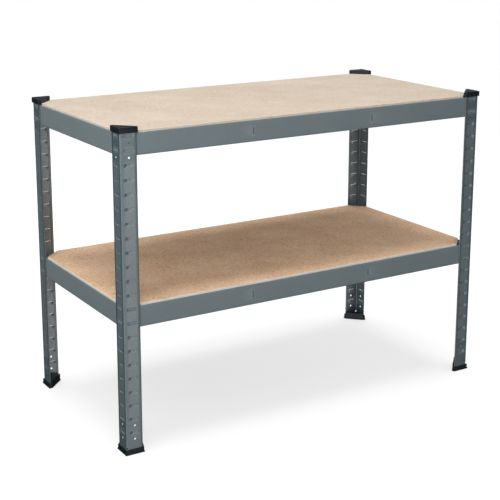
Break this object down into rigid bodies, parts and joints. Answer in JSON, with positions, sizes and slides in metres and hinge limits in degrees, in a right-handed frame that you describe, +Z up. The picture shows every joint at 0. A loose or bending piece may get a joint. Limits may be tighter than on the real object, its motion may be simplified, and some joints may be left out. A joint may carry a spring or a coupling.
{
  "type": "potting bench",
  "caption": "Free-standing two-tier bench: slotted angle posts, hook-in folded beams and loose boards, with moulded caps and feet.",
  "frame": {"origin": "on the floor, at the middle of the bench's footprint", "axes": "+X along the long side to the right, +Y from the front to the rear, +Z up"},
  "size_m": [1.22, 0.601, 0.9038],
  "materials": {
    "post_coat": "grey powder coat on 1.2 mm steel",
    "beam_coat": "grey powder coat on 1.2 mm steel",
    "bar_coat": "grey powder coat on 1.2 mm steel",
    "board_face": "bare fine chipboard, sanded",
    "plastic": "black moulded plastic with a fine grain"
  },
  "bodies": {
    "root": {"post_front_left": "post_coat", "post_front_right": "post_coat", "post_rear_left": "post_coat", "post_rear_right": "post_coat", "cap_front_left": "plastic", "cap_front_right": "plastic", "cap_rear_left": "plastic", "cap_rear_right": "plastic", "foot_front_left": "plastic", "foot_front_right": "plastic", "foot_rear_left": "plastic", "foot_rear_right": "plastic", "beam_upper_front": "beam_coat", "beam_upper_rear": "beam_coat", "beam_upper_left": "beam_coat", "beam_upper_right": "beam_coat", "beam_lower_front": "beam_coat", "beam_lower_rear": "beam_coat", "beam_lower_left": "beam_coat", "beam_lower_right": "beam_coat", "board_upper": "board_face", "board_lower": "board_face", "cross_bar_upper_left": "bar_coat", "cross_bar_upper_right": "bar_coat", "cross_bar_lower_left": "bar_coat", "cross_bar_lower_right": "bar_coat"}
  },
  "joints": []
}
